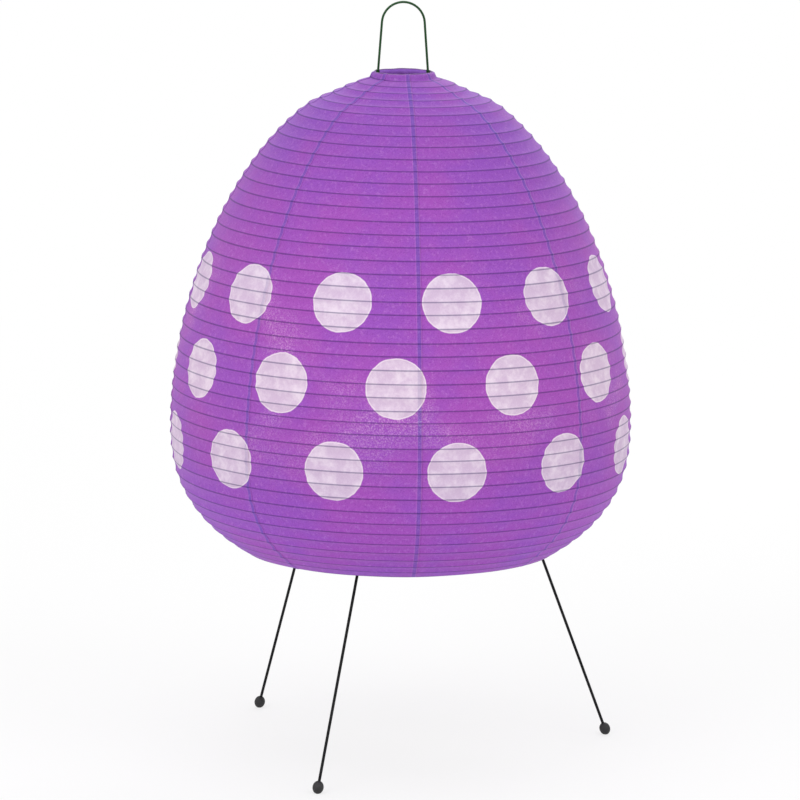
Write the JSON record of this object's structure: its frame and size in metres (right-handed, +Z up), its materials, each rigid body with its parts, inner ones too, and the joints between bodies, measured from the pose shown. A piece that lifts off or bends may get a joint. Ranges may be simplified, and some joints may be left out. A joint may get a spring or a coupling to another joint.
{
  "type": "paper lamp",
  "caption": "Egg-shaped ribbed paper lamp with a spiral bamboo rib, a wire stretcher whose top is a carrying loop, and splayed wire legs on ball feet.",
  "frame": {"origin": "on the floor, under the middle of the shade", "axes": "+Z up; the side seen in the picture faces -Y, so +X is to its right"},
  "size_m": [0.4799, 0.4799, 0.784],
  "materials": {
    "paper": "translucent hand-made paper, painted, with pale round spots",
    "rib": "split bamboo",
    "hoop_wire": "paper-wrapped steel wire",
    "stretcher": "dark green-black enamel, satin",
    "frame": "black enamel, satin",
    "steel": "zinc plated",
    "leg_wire": "black enamel, satin",
    "rubber": "moulded black rubber",
    "holder_plastic": "moulded black thermoset",
    "ceramic": "glazed porcelain",
    "brass": "drawn brass",
    "cap_metal": "nickel plated",
    "insulator": "black glass",
    "glass": "opal, lit"
  },
  "bodies": {
    "root": {"paper_gore_1": "paper", "paper_gore_2": "paper", "paper_gore_3": "paper", "paper_gore_4": "paper", "paper_gore_5": "paper", "paper_gore_6": "paper", "paper_gore_7": "paper", "paper_gore_8": "paper", "spiral_rib": "rib", "top_hoop": "hoop_wire", "bottom_hoop": "hoop_wire", "stretcher_wire": "stretcher", "top_bar": "stretcher", "stretcher_ferrules": "stretcher", "stretcher_cup_1": "stretcher", "stretcher_cup_2": "stretcher", "hub_plate": "frame", "frame_arm_1": "frame", "frame_arm_2": "frame", "frame_arm_3": "frame", "arm_rivets": "steel", "leg_socket_1": "frame", "leg_socket_2": "frame", "leg_socket_3": "frame", "stem_tube": "steel", "stem_nuts": "steel", "cord_bush": "holder_plastic", "holder_cap": "holder_plastic", "holder_shell": "holder_plastic", "holder_core": "ceramic", "screw_shell": "brass", "centre_contact": "brass", "terminal_screws": "steel"},
    "leg_1": {"leg_rod_1": "leg_wire", "ball_foot_1": "rubber"},
    "leg_2": {"leg_rod_2": "leg_wire", "ball_foot_2": "rubber"},
    "leg_3": {"leg_rod_3": "leg_wire", "ball_foot_3": "rubber"},
    "bulb_lift": {"bulb_tip": "brass"},
    "bulb": {"bulb_glass": "glass", "bulb_cap": "cap_metal", "bulb_insulator": "insulator"}
  },
  "joints": [
    {"name": "leg_1_pull", "type": "slide", "parent": "root", "child": "leg_1", "axis": [0.3436, 0.0932, -0.9345], "range_m": [0, 0.036]},
    {"name": "leg_2_pull", "type": "slide", "parent": "root", "child": "leg_2", "axis": [-0.2267, 0.2748, -0.9344], "range_m": [0, 0.036]},
    {"name": "leg_3_pull", "type": "slide", "parent": "root", "child": "leg_3", "axis": [-0.1723, -0.3162, -0.9329], "range_m": [0, 0.036]},
    {"name": "bulb_rise", "type": "slide", "parent": "root", "child": "bulb_lift", "axis": [0, 0, 1], "range_m": [0, 0.01815]},
    {"name": "bulb_turn", "type": "hinge", "parent": "bulb_lift", "child": "bulb", "pos_m": [0, 0, 0.36], "axis": [0, 0, 1], "range_deg": [0, 1800]}
  ],
  "couplings": [
    {"joint": "bulb_rise", "follows": "bulb_turn", "m_per_rad": 0.00057757}
  ]
}
